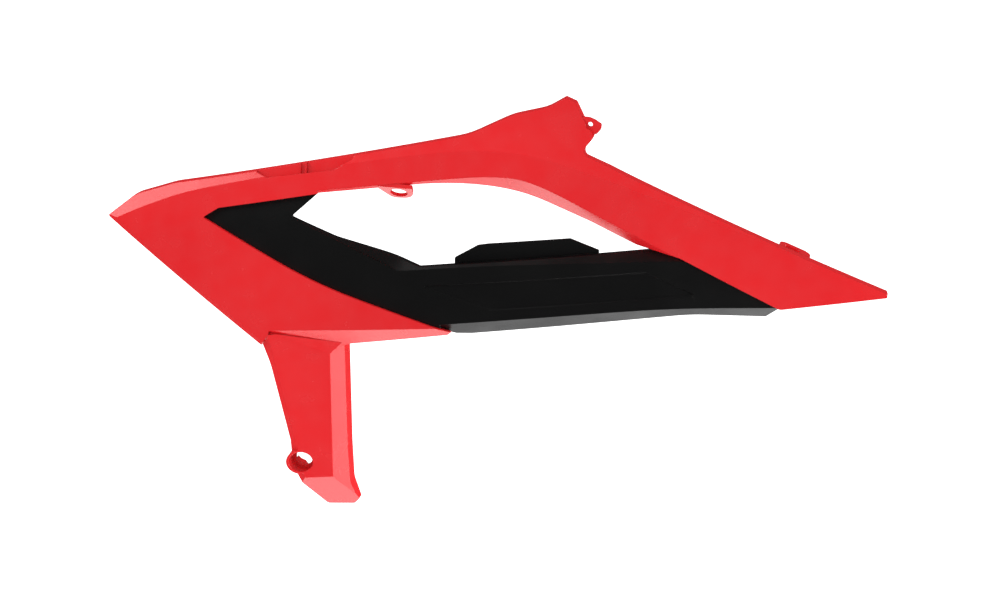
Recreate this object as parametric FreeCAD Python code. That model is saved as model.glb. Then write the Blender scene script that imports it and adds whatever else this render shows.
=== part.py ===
# Left-hand radiator shroud of a dirt bike: a red outer panel with a mounting leg,
# and a black lower panel screwed to it from behind.
# X runs to the rear, Y toward the bike and Z up. The origin is the lower mount,
# at the outer side of the floor its bolt passes through. Sizes in mm.

import math
import os

import FreeCAD
import Part
from FreeCAD import Vector

# Mouldings
wall = 2.5
rim_wall = 2.2
rim_depth = 8.0
panel_gap = 0.3
black_wall = 2.2
black_rim = 4.5
rib_wall = 1.6
rib_height = 4.0

# Leg and lower mount
leg_depth = 24.0
leg_wall = 3.0
mount_tube_radius = 10.6
mount_recess_radius = 8.6
mount_floor = 3.0
mount_bore = 6.5
mount_seat_y = 0.0

# Joint between the two panels
boss_radius = 3.6
boss_height = 7.0
cup_clearance = 0.4
cup_wall = 1.9
cup_floor = 2.0
screw_core = 1.2
pilot_clearance = 0.05
pilot_depth = 6.5
screw_way = 1.7
screw_head_radius = 2.9
screw_head_height = 1.9
screw_length = 7.0
screw_places = [(-24.0, 165.0), (37.0, 135.5), (-36.0, 210.5), (303.0, 168.5), (337.0, 153.0)]

# Tabs
tab_plate = 2.6
tab_hole = 6.2
tab_slope = 40.0
lug_plate = 2.8
lug_bore = 1.8
lug_land = 1.4
lug_set_back = 1.0
slot_length = 12.0
slot_width = 6.0
slot_lug_reach = 16.0

# Decal recess, and the lean of the pocket's lower wall
decal_sink = 0.7
pocket_lean = 0.4

far = 400.0


def soft_step(t):
    t = max(0.0, min(1.0, t))
    return t * t * (3 - 2 * t)


def soft_ramp(t, r):
    return 0.5 * (t + math.sqrt(t * t + r * r))


def soft_max(a, b, r):
    return 0.5 * (a + b) + math.sqrt((0.5 * (a - b)) ** 2 + r * r)


def soft_min(a, b, r):
    return -soft_max(-a, -b, r)


# Each face of the panels is a depth y over (x, z); the deepest one is the skin.
def main_y(x, z):
    bowl = -37.0 + 3.4e-4 * (x + 40) ** 2 + 4e-4 * (z - 120) ** 2
    tilt = 0.22 * (1 - soft_step((x - 120) / 140))
    return bowl + tilt * soft_ramp(z - 195, 10)


def top_line(x):
    spine = soft_min(233.0 + 0.20 * x, 343.0 - 0.4545 * x, 20)
    return soft_min(spine, 214.6 + 0.50 * (x + 84), 5.0)


def top_y(x, z):
    line = top_line(x)
    d = z - line
    rise = 0.85 * d if d < 0 else 0.85 * d - 0.0078 * d * d
    return main_y(x, line) + rise


def front_y(x, z):
    inward = (x + 136.0) * 0.624 + (z - 191.5) * 0.781
    return main_y(x, z) + 0.8 * (4.5 - inward)


def ledge_line(x):
    return 112.8 + 0.055 * (x + 13.6)


def ledge_y(x, z):
    line = ledge_line(x)
    return main_y(x, line) + 0.9 * (line - z)


def arm_edge(x):
    return soft_min(215.4 + 0.125 * (x - 23.4), 232.8 - 0.555 * (x - 171.0), 8)


def arm_lip_y(x, z):
    line = arm_edge(x) + 3.0
    return main_y(x, line) + 0.9 * (line - z)


def leg_y(x, z):
    return -36.0 + 0.205 * (104 - z) + 0.31 * (x + 15)


def leg_left_y(x, z):
    edge = -17.5 + 0.135 * (100 - z)
    return leg_y(x, z) + 0.9 * (edge + 4.0 - x)


def leg_right_y(x, z):
    return leg_y(x, z) + 1.0 * (x - 24.0 - 0.05 * (z - 22.7))


def leg_low_y(x, z):
    return leg_y(x, -14.0) + 0.8 * (-14.0 - z)


def gusset_y(x, z):
    return -36.5 + 0.199 * (x + 13.5) + 0.427 * (110.5 - z)


def black_up_line(x):
    rear = 162.0 + 7.5 * (1 - math.exp((97 - x) / 70)) + 0.01 * (x - 97)
    return soft_max(193.8 - 0.5 * (x - 9.7), rear, 2.4)


def black_low_line(x):
    return soft_min(122.6 + 0.099 * (x - 117), 137.8 - 0.033 * (x - 296.7), 3.0)


def black_y(x, z):
    return main_y(x, z) + wall + panel_gap


def black_up_y(x, z):
    line = black_up_line(x)
    return black_y(x, line) + 0.9 * (z - line)


def black_low_y(x, z):
    line = black_low_line(x)
    return black_y(x, line) + 0.9 * (line - z)


# Solid of everything behind a face, between x0..x1 and z0..z1, from a grid of nx by nz spans.
def behind(face, x0, x1, z0, z1, nx, nz):
    nx += 1
    nz += 1
    grid = []
    for i in range(nx):
        x = x0 + (x1 - x0) * i / (nx - 1)
        row = [Vector(x, face(x, z0 + (z1 - z0) * j / (nz - 1)), z0 + (z1 - z0) * j / (nz - 1))
               for j in range(nz)]
        grid.append(row)
    skin = Part.BSplineSurface()
    skin.interpolate(grid)
    return skin.toShape().extrude(Vector(0, far, 0))


# Solid behind a flat face, from three of its points.
def behind_flat(face, x0, x1, z0, z1):
    corners = [(x0, z0), (x1, z0), (x1, z1), (x0, z1), (x0, z0)]
    points = [Vector(x, face(x, z), z) for x, z in corners]
    return Part.Face(Part.makePolygon(points)).extrude(Vector(0, far, 0))


def moved(shape, dy):
    copy = shape.copy()
    copy.translate(Vector(0, dy, 0))
    return copy


# Closed wire in the XZ plane through corners (x, z, radius).
def outline(corners, y=0.0):
    n = len(corners)
    cuts = []
    for i, (x, z, r) in enumerate(corners):
        p = Vector(x, y, z)
        to_last = Vector(corners[i - 1][0], y, corners[i - 1][1]) - p
        to_next = Vector(corners[(i + 1) % n][0], y, corners[(i + 1) % n][1]) - p
        to_last.normalize()
        to_next.normalize()
        half = 0.5 * to_last.getAngle(to_next)
        if r <= 0 or abs(half - math.pi / 2) < 1e-4:
            cuts.append((p, None, p))
            continue
        run = r / math.tan(half)
        centre = p + (to_last + to_next).normalize() * (r / math.sin(half))
        middle = centre + (p - centre).normalize() * r
        cuts.append((p + to_last * run, middle, p + to_next * run))
    edges = []
    for i in range(n):
        a, middle, b = cuts[i]
        if middle is not None:
            edges.append(Part.Arc(a, middle, b).toShape())
        following = cuts[(i + 1) % n][0]
        if b.distanceToPoint(following) > 1e-3:
            edges.append(Part.makeLine(b, following))
    return Part.Wire(edges)


def prism(corners, inset=0.0, y0=-100.0, y1=150.0):
    wire = outline(corners, y0)
    face = Part.Face(wire)
    if inset:
        face = face.makeOffset2D(-inset)
    return face.extrude(Vector(0, y1 - y0, 0))


def rod(x, z, radius, y0, y1):
    return Part.makeCylinder(radius, y1 - y0, Vector(x, y0, z), Vector(0, 1, 0))


def joined(first, others):
    result = first
    for other in others:
        result = result.fuse(other)
    return result


def common(first, others):
    result = first
    for other in others:
        result = result.common(other)
    return result


def solid_of(shape):
    return max(shape.Solids, key=lambda s: s.Volume)


# Outlines (x, z, corner radius)
panel_edge = [
    (-136.0, 191.0, 1.5), (-115.5, 207.0, 30), (-85.0, 217.0, 60), (128.0, 257.2, 60),
    (158.0, 270.8, 50), (183.0, 276.5, 30), (195.5, 283.8, 2.0), (203.2, 280.6, 2.5),
    (208.6, 270.6, 1.0), (217.4, 257.4, 2.5), (209.0, 247.2, 4.0), (230.0, 238.3, 20),
    (427.6, 144.4, 1.2), (428.8, 141.0, 1.0), (353.0, 134.4, 6.0), (281.0, 174.4, 15),
    (250.0, 182.0, 12), (218.5, 198.0, 60), (140.0, 228.8, 200), (23.4, 215.4, 60),
    (-49.9, 202.3, 2.5), (-61.5, 195.0, 0.8), (20.0, 150.4, 400), (120.0, 115.8, 0.8),
    (116.5, 112.8, 3.0), (43.0, 101.0, 2.0),
    (36.0, 98.0, 1.0), (-14.0, 96.0, 1.0), (-22.0, 101.0, 5),
]

leg_edge = [
    (-20.6, 100.4, 0), (-15.6, 84.0, 60), (-6.8, 18.0, 6), (-8.0, -6.0, 4), (12.0, -45.5, 3),
    (31.0, -47.0, 2.0), (35.6, -42.0, 2.5), (31.6, -24.0, 20), (32.2, 8.0, 80),
    (36.2, 98.0, 1.0), (36.6, 107.0, 1.0), (-10.0, 109.6, 1.0), (-14.8, 109.2, 0.5),
]

leg_hollow = [
    (-13.6, 105.5, 1), (-10.6, 84.0, 40), (-3.2, 14.0, 6), (-3.0, -8.0, 3), (13.6, -42.2, 2),
    (29.6, -43.8, 1.5), (32.0, -41.2, 1.5), (28.6, -24.0, 20), (29.2, 8.0, 80),
    (33.0, 96.0, 1.0), (33.4, 104.0, 1.0), (20.0, 106.0, 1.0),
]

black_edge = [
    (-77.0, 199.5, 4), (-54.0, 213.0, 6), (16.0, 226.0, 4), (32.0, 223.4, 3), (3.2, 197.6, 1.2),
    (36.0, 183.6, 60), (84.0, 168.2, 30), (97.0, 164.2, 2), (122.3, 166.6, 30),
    (231.6, 175.4, 60), (284.0, 179.5, 20), (301.0, 181.0, 6), (364.0, 146.6, 4), (358.0, 139.5, 4),
    (342.5, 126.4, 1.5), (290.0, 129.6, 120), (133.0, 112.6, 4), (122.0, 112.8, 4),
    (110.0, 117.5, 8), (84.0, 119.0, 8), (10.0, 139.5, 60),
]

decal_edge = [(97.0, 150.6, 1.0), (258.0, 163.3, 1.0), (294.4, 145.2, 1.0), (148.0, 133.1, 1.0)]

pocket_edge = [
    (-15.0, 224.4, 2), (14.0, 229.6, 20), (34.0, 233.0, 8), (47.0, 242.5, 2),
    (54.0, 264.0, 0), (-32.0, 264.0, 0), (-23.0, 228.5, 2),
]

black_tab_edge = [
    (121.0, 160.0, 0), (121.0, 170.0, 1.0), (137.5, 179.4, 2), (145.0, 180.5, 3),
    (203.0, 185.2, 3), (223.5, 176.8, 1.0), (223.0, 160.0, 0),
]

# Red panel
main_block = behind(main_y, -200, 480, 60, 330, 24, 24)
top_block = behind(top_y, -200, 480, 60, 330, 48, 20)
front_block = behind(front_y, -200, 20, 60, 240, 8, 14)
ledge_block = behind(ledge_y, -40, 160, 70, 160, 8, 2)
lip_block = behind(arm_lip_y, -60, 420, 90, 270, 48, 2)
steep = math.sqrt(1 + 0.85 ** 2)

front_zone = prism([(-153.8, 217.2, 0), (-178.1, 186.7, 0), (-31.3, 69.5, 0), (-7.0, 100.0, 0)])
ledge_zone = prism([(-10.0, 60, 0), (140, 60, 0), (140, 124, 0), (-13.5, 112.4, 0), (-14.2, 109.6, 0),
                    (-21.5, 98.5, 0)])
lip_zone = prism([(23.0, 200, 0), (120, 190, 0), (300, 110, 0), (380, 110, 0), (330, 170, 0),
                  (230, 225, 0), (150, 250, 0), (23.0, 226, 0)])


def red_face(dy):
    outer = moved(main_block, dy).common(moved(top_block, dy * steep))
    front_off = front_zone.cut(moved(front_block, dy * steep))
    ledge_off = ledge_zone.cut(moved(ledge_block, dy * steep))
    lip_off = lip_zone.cut(moved(lip_block, dy * steep))
    return outer.cut([front_off, ledge_off, lip_off])


front_side = red_face(0.0)
back_side = red_face(wall)
panel = prism(panel_edge).common(front_side)
panel = panel.cut(moved(front_side, rim_depth))

# Pocket behind the top edge: cut back and down, with a wall left behind it and two short ribs in it
pocket_mouth = moved(Part.Face(outline(pocket_edge, main_y(10.0, 228.0))), -20.0)
pocket_mouth.translate(Vector(0, 0, 20.0 * pocket_lean))
pocket_cut = pocket_mouth.extrude(Vector(0, 60.0, -60.0 * pocket_lean))
pocket_cut = pocket_cut.cut(moved(main_block, rim_depth - rim_wall))
for x in (8.0, 12.3):
    pocket_rib = Part.makeBox(1.0, 200, 60, Vector(x, -100, 200)).common(moved(main_block, 3.6))
    pocket_cut = pocket_cut.cut(pocket_rib)
panel = panel.cut(pocket_cut)
pocket_room = prism(pocket_edge, -rim_wall - rim_depth * pocket_lean)
hollow = prism(panel_edge, rim_wall).common(back_side).cut(pocket_room)
print("red faces done")

leg_faces = [behind_flat(f, -60, 60, -80, 130) for f in (leg_y, leg_left_y, leg_right_y, leg_low_y)]
leg = common(prism(leg_edge), leg_faces).cut(moved(leg_faces[0], leg_depth))
mount_back = mount_seat_y + mount_floor
mount_tube = common(rod(0, 0, mount_tube_radius, -60, mount_back), [leg_faces[0], leg_faces[3]])
leg_inside = common(prism(leg_hollow), [moved(f, leg_wall * 1.2) for f in leg_faces])
gusset = prism([(-13.5, 110.5, 0), (38.0, 102.0, 0), (27.2, 91.0, 0)])
gusset = gusset.common(behind_flat(gusset_y, -60, 60, 60, 130)).cut(moved(leg_faces[0], leg_depth))

red = joined(panel, [leg, gusset, mount_tube])
red = red.cut(hollow).cut(leg_inside.cut(rod(0, 0, mount_tube_radius, -60, mount_back)))
red = red.cut(rod(0, 0, mount_recess_radius, -60, mount_seat_y)).cut(rod(0, 0, mount_bore, -60, 60))
red = red.cut(rod(0, 0, mount_recess_radius, mount_back, 60))
print("red shell done", len(red.Solids))

# Ribs behind the red skin
rib_lines = [(-75, 150, -50, 200), (60, 222, 66, 252), (140, 222, 134, 262), (190, 210, 206, 252),
             (236, 190, 256, 226), (310, 160, 330, 192), (372, 136, 388, 164)]
bars = []
for x0, z0, x1, z1 in rib_lines:
    along = Vector(x1 - x0, 0, z1 - z0).normalize()
    side = Vector(-along.z, 0, along.x) * (rib_wall / 2)
    a = Vector(x0, -100, z0)
    b = Vector(x1, -100, z1)
    bar = Part.Face(Part.makePolygon([a + side, b + side, b - side, a - side, a + side]))
    bars.append(bar.extrude(Vector(0, 250, 0)))
ribs = Part.makeCompound(bars).common(prism(panel_edge, 0.5))
ribs = ribs.common(moved(front_side, wall * 0.6)).cut(moved(front_side, wall + rib_height))
red = red.fuse(ribs.Solids)

leg_rib_zone = leg_faces[0].cut(moved(leg_faces[0], leg_depth - 8)).common(prism(leg_edge, 1.0))
for z in (74.0, 48.0, 24.0):
    plate = Part.makeBox(60, 120, rib_wall, Vector(-20, -60, z))
    red = red.fuse(plate.common(leg_rib_zone).common(moved(leg_faces[2], 1)).common(moved(leg_faces[1], 1)))
print("ribs done", len(red.Solids))

# Lug on the ear, with room for the screw's head before it and for its nut behind
lug_x, lug_z = 214.2, 265.9
lug_face = top_y(lug_x, lug_z) + lug_set_back
lug_edge = [(204.0, 270.0, 0), (208.4, 271.0, 0.6), (213.2, 270.9, 6), (217.6, 269.2, 8),
            (222.2, 266.2, 1.2), (221.8, 262.4, 3), (219.2, 259.4, 2), (216.6, 258.4, 1.5), (208.0, 255.0, 0)]
lug = prism(lug_edge, 0.0, lug_face, lug_face + lug_plate)
red = red.fuse(lug.common(moved(top_block, 0.4)))
red = red.cut(rod(lug_x, lug_z, lug_bore, lug_face - 20, lug_face + 20))
red = red.cut(rod(lug_x, lug_z, lug_bore + lug_land, lug_face - 20, lug_face))
red = red.cut(rod(lug_x, lug_z, lug_bore + lug_land, lug_face + lug_plate, lug_face + 20))


# Sloping tab under the upper arm, drawn flat in its own plane
def sloping_tab(x, z, slope, half_width, reach, hole, plate):
    y = main_y(x, z) + wall / 2
    corners = [(-half_width, -6, 0), (half_width, -6, 0), (half_width, 3, 3),
               (half_width - 1.5, reach, 9), (-half_width + 8, reach, 6), (-half_width, 3, 6)]
    wire = outline([(u, v, r) for u, v, r in corners])
    flat = Part.Face(wire).extrude(Vector(0, plate, 0))
    flat = flat.cut(rod(hole_offset, reach - hole - 2.6, hole, -5, 5 + plate))
    flat.rotate(Vector(0, 0, 0), Vector(1, 0, 0), 90 - slope + 180)
    flat.translate(Vector(x, y, z))
    return flat


hole_offset = 1.5
mid_tab = sloping_tab(78.5, 223.8, tab_slope, 12.5, 18.0, tab_hole, tab_plate)
red = red.fuse(mid_tab.common(moved(main_block, 0.8)))

# Slotted lug behind the rear arm's top edge
lug_y = main_y(358, 176) + rim_depth + 4
slot_lug = Part.makeBox(24, slot_lug_reach + 6, tab_plate, Vector(-10, -6, 0))
outer_corners = [e for e in slot_lug.Edges if abs(e.Vertexes[0].Z - e.Vertexes[-1].Z) > 1
                 and e.Vertexes[0].Y > 0]
slot_lug = slot_lug.makeFillet(6.0, outer_corners)
slot = Part.makeBox(slot_length - slot_width, slot_width, 20, Vector(-(slot_length - slot_width) / 2, 5, -10))
for x in (-1, 1):
    slot = slot.fuse(Part.makeCylinder(slot_width / 2, 20, Vector(x * (slot_length - slot_width) / 2,
                                                                 5 + slot_width / 2, -10)))
slot_lug = slot_lug.cut(slot)
slot_lug.rotate(Vector(0, 0, 0), Vector(0, 1, 0), 22)
slot_lug.translate(Vector(358, lug_y, 172.0))
red = red.fuse(slot_lug)
print("tabs done", len(red.Solids))

# Room for the black panel behind the red skin
tuck = prism(black_edge, -0.8).common(back_side)
red = red.cut(tuck)

for x, z in screw_places:
    seat = main_y(x, z) + wall + boss_height
    boss = rod(x, z, boss_radius, seat - boss_height - 1.5, seat)
    red = red.fuse(boss)
    red = red.cut(rod(x, z, screw_core + pilot_clearance, seat - pilot_depth, seat + 1))
red = solid_of(red.removeSplitter())
print("red panel", red.isValid(), round(red.Volume))

# Black panel
black_block = moved(main_block, wall + panel_gap)
black_up_block = behind(black_up_y, -120, 420, 90, 260, 54, 2)
black_low_block = behind(black_low_y, -120, 420, 90, 260, 36, 2)


def black_face(dy):
    up = moved(black_up_block, dy * 1.35)
    low = moved(black_low_block, dy * 1.35)
    up_zone = prism([(4.6, 197.0, 0), (95, 155, 0), (300, 165, 0), (300, 230, 0), (38.0, 226, 0)])
    low_zone = prism([(112, 90, 0), (400, 90, 0), (400, 148, 0), (112, 140, 0)])
    face = moved(black_block, dy)
    return face.cut(up_zone.cut(up)).cut(low_zone.cut(low))


black_front = black_face(0.0)
black_back = black_face(black_wall)
black = prism(black_edge).common(black_front)
black = black.cut(moved(black_front, black_rim))
black = black.cut(prism(black_edge, black_wall).common(black_back))
tab = prism(black_tab_edge).common(moved(black_block, 8.0)).cut(moved(black_block, 8.0 + black_wall))
black = black.fuse(tab)
sunk = prism(decal_edge).cut(moved(black_block, decal_sink))
black = black.cut(sunk)
skin_room = prism(panel_edge, -panel_gap).cut(red_face(wall + panel_gap * 0.8))
black = solid_of(black.cut(skin_room))
print("black shell done", len(black.Solids))

for x, z in screw_places:
    seat = main_y(x, z) + wall + boss_height
    inner = boss_radius + cup_clearance
    cup = rod(x, z, inner + cup_wall, seat - boss_height, seat + cup_floor).common(black_front)
    black = black.fuse(cup.cut(skin_room))
    black = black.cut(rod(x, z, inner, seat - 30, seat))
    black = black.cut(rod(x, z, screw_way, seat - 30, seat + 30))
black = solid_of(black.removeSplitter())
print("black panel", black.isValid(), round(black.Volume))

# Screws, driven from behind
screws = []
for x, z in screw_places:
    seat = main_y(x, z) + wall + boss_height + cup_floor
    screw = rod(x, z, screw_core, seat - screw_length, seat + 0.5)
    head = rod(x, z, screw_head_radius, seat, seat + screw_head_height)
    crown = [e for e in head.Edges if e.BoundBox.YMin > seat + 1 and e.BoundBox.YLength < 0.01]
    head = head.makeChamfer(0.8, crown)
    drive = Part.makeBox(3.4, 1.2, 0.8, Vector(x - 1.7, seat + screw_head_height - 1.1, z - 0.4))
    cross = Part.makeBox(0.8, 1.2, 3.4, Vector(x - 0.4, seat + screw_head_height - 1.1, z - 1.7))
    screws.append(screw.fuse(head).removeSplitter().cut(drive).cut(cross))
screw_group = Part.makeCompound([s.Solids[0] for s in screws])

os.makedirs("parts", exist_ok=True)
red.exportStep("parts/shroud_panel.step")
black.exportStep("parts/lower_panel.step")
screw_group.exportStep("parts/fixing_screws.step")
for name, shape in (("shroud_panel", red), ("lower_panel", black), ("fixing_screws", screw_group)):
    box = shape.BoundBox
    print(name, shape.isValid(), len(shape.Solids), [round(v, 1) for v in
          (box.XMin, box.XMax, box.YMin, box.YMax, box.ZMin, box.ZMax)], round(shape.Volume))
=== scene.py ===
import math

import bmesh
import bpy
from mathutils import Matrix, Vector


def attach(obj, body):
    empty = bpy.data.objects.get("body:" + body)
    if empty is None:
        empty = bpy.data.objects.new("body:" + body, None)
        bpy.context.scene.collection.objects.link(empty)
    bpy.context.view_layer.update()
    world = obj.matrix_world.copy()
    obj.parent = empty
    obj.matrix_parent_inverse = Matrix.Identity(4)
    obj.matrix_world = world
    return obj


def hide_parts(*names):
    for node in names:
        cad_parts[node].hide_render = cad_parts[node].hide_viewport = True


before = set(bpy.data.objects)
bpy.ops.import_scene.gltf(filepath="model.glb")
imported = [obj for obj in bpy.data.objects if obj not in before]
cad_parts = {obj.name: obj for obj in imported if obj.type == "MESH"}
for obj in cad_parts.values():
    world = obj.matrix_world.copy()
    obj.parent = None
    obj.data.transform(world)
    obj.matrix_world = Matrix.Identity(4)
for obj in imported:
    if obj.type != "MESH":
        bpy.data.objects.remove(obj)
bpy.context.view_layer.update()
scene = bpy.context.scene
print("frame loaded")


def clearSelection():
    for ob in bpy.context.selected_objects:
        ob.select_set(False)


def newMaterial(name):
    mat = bpy.data.materials.new(name)
    mat.use_nodes = True
    nodes = mat.node_tree.nodes
    return mat, nodes, mat.node_tree.links, nodes["Principled BSDF"]


def noiseTexture(nodes, links, coord, scale, detail, roughness=0.5):
    noise = nodes.new("ShaderNodeTexNoise")
    noise.inputs["Scale"].default_value = scale
    noise.inputs["Detail"].default_value = detail
    noise.inputs["Roughness"].default_value = roughness
    links.new(coord.outputs["Object"], noise.inputs["Vector"])
    return noise


edgeSamples = 6


# A small radius on every edge, as a moulding has, and the grain over it
def surfaceRelief(nodes, links, bsdf, height, radius, strength, distance):
    rounded = nodes.new("ShaderNodeBevel")
    rounded.samples = edgeSamples
    rounded.inputs["Radius"].default_value = radius
    bump = nodes.new("ShaderNodeBump")
    bump.inputs["Strength"].default_value = strength
    bump.inputs["Distance"].default_value = distance
    links.new(height, bump.inputs["Height"])
    links.new(rounded.outputs["Normal"], bump.inputs["Normal"])
    links.new(bump.outputs["Normal"], bsdf.inputs["Normal"])


# Most of a noise texture's values lie between these two
noiseSpread = (0.35, 0.65)


def remap(nodes, links, noise, low, high):
    node = nodes.new("ShaderNodeMapRange")
    node.inputs["From Min"].default_value = noiseSpread[0]
    node.inputs["From Max"].default_value = noiseSpread[1]
    node.inputs["To Min"].default_value = low
    node.inputs["To Max"].default_value = high
    links.new(noise.outputs["Fac"], node.inputs["Value"])
    return node.outputs["Result"]


# Moulded red: glossy, a slight orange peel, faint flow clouds in the pigment
# Cloud, smear and peel are each a noise's scale and detail
redLook = {
    "colour": (0.74, 0.015, 0.019), "deep": (0.64, 0.008, 0.013), "cloud": (9.0, 4.0), "cloudShare": 0.35,
    "gloss": 0.22, "glossLess": 0.03, "glossMore": 0.06, "smear": (60.0, 5.0),
    "peel": (700.0, 2.0), "peelStrength": 0.035, "peelDepth": 0.0004, "edge": 0.0009,
}


def makeRedPlastic():
    mat, nodes, links, bsdf = newMaterial("redGlossPlastic")
    coord = nodes.new("ShaderNodeTexCoord")
    cloud = noiseTexture(nodes, links, coord, *redLook["cloud"])
    mix = nodes.new("ShaderNodeMix")
    mix.data_type = "RGBA"
    mix.inputs["A"].default_value = (*redLook["colour"], 1)
    mix.inputs["B"].default_value = (*redLook["deep"], 1)
    links.new(remap(nodes, links, cloud, 0.0, redLook["cloudShare"]), mix.inputs["Factor"])
    links.new(mix.outputs["Result"], bsdf.inputs["Base Color"])
    smear = noiseTexture(nodes, links, coord, *redLook["smear"])
    low = redLook["gloss"] - redLook["glossLess"]
    high = redLook["gloss"] + redLook["glossMore"]
    links.new(remap(nodes, links, smear, low, high), bsdf.inputs["Roughness"])
    peel = noiseTexture(nodes, links, coord, *redLook["peel"])
    surfaceRelief(nodes, links, bsdf, peel.outputs["Fac"],
                  redLook["edge"], redLook["peelStrength"], redLook["peelDepth"])
    return mat


# Moulded black: a fine grain, and patches that are a little smoother
blackLook = {
    "colour": (0.004, 0.004, 0.0042), "rough": 0.40, "roughLess": 0.05, "roughMore": 0.08,
    "wipe": (30.0, 4.0), "grain": (1500.0, 4.0, 0.6), "grainStrength": 0.25, "grainDepth": 0.0003,
    "edge": 0.0007,
}


def makeBlackPlastic():
    mat, nodes, links, bsdf = newMaterial("blackGrainedPlastic")
    coord = nodes.new("ShaderNodeTexCoord")
    bsdf.inputs["Base Color"].default_value = (*blackLook["colour"], 1)
    grain = noiseTexture(nodes, links, coord, *blackLook["grain"])
    surfaceRelief(nodes, links, bsdf, grain.outputs["Fac"],
                  blackLook["edge"], blackLook["grainStrength"], blackLook["grainDepth"])
    wipe = noiseTexture(nodes, links, coord, *blackLook["wipe"])
    low = blackLook["rough"] - blackLook["roughLess"]
    high = blackLook["rough"] + blackLook["roughMore"]
    links.new(remap(nodes, links, wipe, low, high), bsdf.inputs["Roughness"])
    return mat


screwLook = {"colour": (0.62, 0.62, 0.60), "smooth": 0.25, "dull": 0.45, "speckle": (900.0, 4.0)}


def makeScrewSteel():
    mat, nodes, links, bsdf = newMaterial("zincScrewSteel")
    coord = nodes.new("ShaderNodeTexCoord")
    bsdf.inputs["Base Color"].default_value = (*screwLook["colour"], 1)
    bsdf.inputs["Metallic"].default_value = 1.0
    speckle = noiseTexture(nodes, links, coord, *screwLook["speckle"])
    links.new(remap(nodes, links, speckle, screwLook["smooth"], screwLook["dull"]), bsdf.inputs["Roughness"])
    return mat


redPlastic = makeRedPlastic()
blackPlastic = makeBlackPlastic()
screwSteel = makeScrewSteel()
print("materials made")


# Each moulding is its solid's own mesh, welded and smoothed up to its creases (angles in degrees)
weld = {"distance": 1e-6, "faceCrease": 7.0, "wallCrease": 26.0, "alongY": 0.9}


# Faces blend up to a small angle. The walls of holes and corners run along Y and blend up to a larger one
def markCreases(piece):
    mesh = bmesh.new()
    mesh.from_mesh(piece.data)
    for edge in mesh.edges:
        along = abs((edge.verts[1].co - edge.verts[0].co).normalized().y)
        limit = weld["wallCrease"] if along > weld["alongY"] else weld["faceCrease"]
        edge.smooth = edge.calc_face_angle(math.pi) < math.radians(limit)
    for face in mesh.faces:
        face.smooth = True
    mesh.to_mesh(piece.data)
    mesh.free()


def mouldedPiece(nodeName, pieceName, mat, reshape=None):
    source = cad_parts[nodeName]
    clearSelection()
    source.select_set(True)
    bpy.context.view_layer.objects.active = source
    bpy.ops.object.duplicate()
    piece = bpy.context.active_object
    piece.name = pieceName
    bpy.ops.object.mode_set(mode="EDIT")
    bpy.ops.mesh.select_all(action="SELECT")
    bpy.ops.mesh.remove_doubles(threshold=weld["distance"])
    bpy.ops.mesh.normals_make_consistent(inside=False)
    bpy.ops.object.mode_set(mode="OBJECT")
    if reshape:
        reshape(piece)
    markCreases(piece)
    level = piece.modifiers.new("evenNormals", "WEIGHTED_NORMAL")
    level.keep_sharp = True
    bpy.ops.object.modifier_apply(modifier=level.name)
    piece.data.materials.clear()
    piece.data.materials.append(mat)
    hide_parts(nodeName)
    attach(piece, "root")
    print(pieceName, len(piece.data.vertices), "vertices")


# The black panel's outer face in mm: a bow both ways, and a tilt above the bend that dies out to the rear
blackFace = {
    "depth": -34.2, "bowX": 3.4e-4, "middleX": -40, "bowZ": 4e-4, "middleZ": 120,
    "tilt": 0.11, "tiltEndsFrom": 120, "tiltEndsOver": 140, "bendZ": 195, "bendSoft": 10,
}


def blackDepth(x, z):
    share = max(0.0, min(1.0, (x - blackFace["tiltEndsFrom"]) / blackFace["tiltEndsOver"]))
    tilt = blackFace["tilt"] * (1 - share ** 2 * (3 - 2 * share))
    above = z - blackFace["bendZ"]
    bowX = blackFace["bowX"] * (x - blackFace["middleX"]) ** 2
    bowZ = blackFace["bowZ"] * (z - blackFace["middleZ"]) ** 2
    return blackFace["depth"] + bowX + bowZ + tilt * (above + math.hypot(above, blackFace["bendSoft"]))


# The decal recess gets sloped walls: the rim of its floor moves inward. Corners in the side view, in mm
recess = {
    "corners": [(97.0, 150.6), (258.0, 163.3), (294.4, 145.2), (148.0, 133.1)],
    "slope": 0.9, "shallowest": 0.35, "deepest": 1.0, "slack": 0.05,
}


def slopeRecess(piece):
    corners = recess["corners"]
    for vertex in piece.data.vertices:
        x, y, z = (1000 * c for c in vertex.co)
        sunk = y - blackDepth(x, z)
        if sunk < recess["shallowest"] or sunk > recess["deepest"]:
            continue
        gaps = []
        for i, (ax, az) in enumerate(corners):
            bx, bz = corners[(i + 1) % 4]
            run = math.hypot(bx - ax, bz - az)
            inX = (bz - az) / run
            inZ = (ax - bx) / run
            gaps.append(((x - ax) * inX + (z - az) * inZ, inX, inZ))
        if min(g[0] for g in gaps) < -recess["slack"]:
            continue
        for gap, inX, inZ in gaps:
            if gap < recess["slope"]:
                x += (recess["slope"] - gap) * inX
                z += (recess["slope"] - gap) * inZ
        vertex.co = (x / 1000, y / 1000, z / 1000)


mouldedPiece("shroud_panel", "redPanel", redPlastic)
mouldedPiece("lower_panel", "blackPanel", blackPlastic, slopeRecess)
mouldedPiece("fixing_screws", "screwSet", screwSteel)


# The studio is white to the camera and to soft light, and dark where the gloss mirrors it
studio = {
    "floorPlace": (0.15, 0.0, -0.60), "floorSize": 14.0, "floorColour": 0.86, "floorRough": 0.9,
    "floorGlow": (0.7, 0.7, 0.7), "ambient": 1.0, "mirrored": 0.05, "background": 1.0,
}


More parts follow.
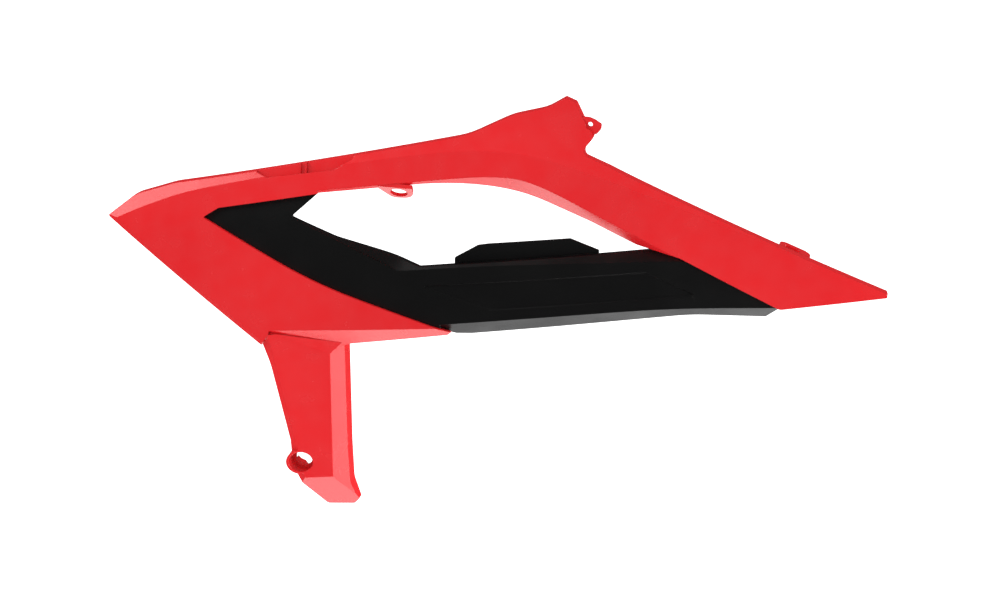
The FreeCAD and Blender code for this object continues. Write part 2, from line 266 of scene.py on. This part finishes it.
def makeFloor():
    clearSelection()
    bpy.ops.mesh.primitive_plane_add(size=studio["floorSize"], location=studio["floorPlace"])
    floor = bpy.context.active_object
    floor.name = "studioFloor"
    mat, nodes, links, bsdf = newMaterial("studioWhite")
    bsdf.inputs["Roughness"].default_value = studio["floorRough"]
    bsdf.inputs["Specular IOR Level"].default_value = 0.0
    path = nodes.new("ShaderNodeLightPath")
    shade = nodes.new("ShaderNodeMapRange")
    shade.inputs["To Min"].default_value = studio["floorColour"]
    shade.inputs["To Max"].default_value = studio["mirrored"]
    links.new(path.outputs["Is Glossy Ray"], shade.inputs["Value"])
    links.new(shade.outputs["Result"], bsdf.inputs["Base Color"])
    links.new(path.outputs["Is Camera Ray"], bsdf.inputs["Emission Strength"])
    bsdf.inputs["Emission Color"].default_value = (*studio["floorGlow"], 1)
    floor.data.materials.append(mat)


def makeWorld():
    world = bpy.data.worlds.new("studioWorld")
    scene.world = world
    world.use_nodes = True
    nodes = world.node_tree.nodes
    links = world.node_tree.links
    background = nodes["Background"]
    background.inputs["Color"].default_value = (1, 1, 1, 1)
    path = nodes.new("ShaderNodeLightPath")
    soft = nodes.new("ShaderNodeMapRange")
    soft.inputs["To Min"].default_value = studio["ambient"]
    soft.inputs["To Max"].default_value = studio["mirrored"]
    links.new(path.outputs["Is Glossy Ray"], soft.inputs["Value"])
    level = nodes.new("ShaderNodeMapRange")
    level.inputs["To Max"].default_value = studio["background"]
    links.new(path.outputs["Is Camera Ray"], level.inputs["Value"])
    links.new(soft.outputs["Result"], level.inputs["To Min"])
    links.new(level.outputs["Result"], background.inputs["Strength"])


def turnTo(ob, place, aim):
    ob.location = place
    ob.rotation_euler = (Vector(aim) - Vector(place)).to_track_quat("-Z", "Y").to_euler()


# Place, aim, width and height, and glow of each lamp
lamps = {
    "topLeftSoftbox": ((-1.45, -0.70, 1.70), (0.15, 0.0, 0.12), (1.3, 1.3), 4.0),
    "underPanel": ((0.55, 0.38, -0.52), (0.55, 0.38, 0.5), (2.0, 0.9), 2.1),
    "rightPanel": ((1.50, 0.15, -0.30), (0.03, 0.0, 0.05), (0.9, 0.9), 6.0),
}


# A lamp's glow is what it shows in a mirror; its power follows from that and its size
def areaLight(name, place, aim, size, glow):
    data = bpy.data.lights.new(name, "AREA")
    data.shape = "RECTANGLE"
    data.size, data.size_y = size
    data.energy = glow * math.pi * size[0] * size[1]
    ob = bpy.data.objects.new(name, data)
    scene.collection.objects.link(ob)
    turnTo(ob, place, aim)
    ob.visible_camera = False


makeFloor()
makeWorld()
for lampName, lamp in lamps.items():
    areaLight(lampName, *lamp)
print("studio set")


# Camera at the photograph's angle
cameraLook = {
    "place": (0.46330, -1.60606, 0.66620), "aim": (0.14029, 0.05572, 0.11615), "lens": 85.0, "sensor": 36.0,
}


def makeCamera():
    data = bpy.data.cameras.new("photoCamera")
    data.lens = cameraLook["lens"]
    data.sensor_width = cameraLook["sensor"]
    ob = bpy.data.objects.new("photoCamera", data)
    scene.collection.objects.link(ob)
    turnTo(ob, cameraLook["place"], cameraLook["aim"])
    scene.camera = ob


makeCamera()
print("camera set")
scene.view_settings.view_transform = "Standard"
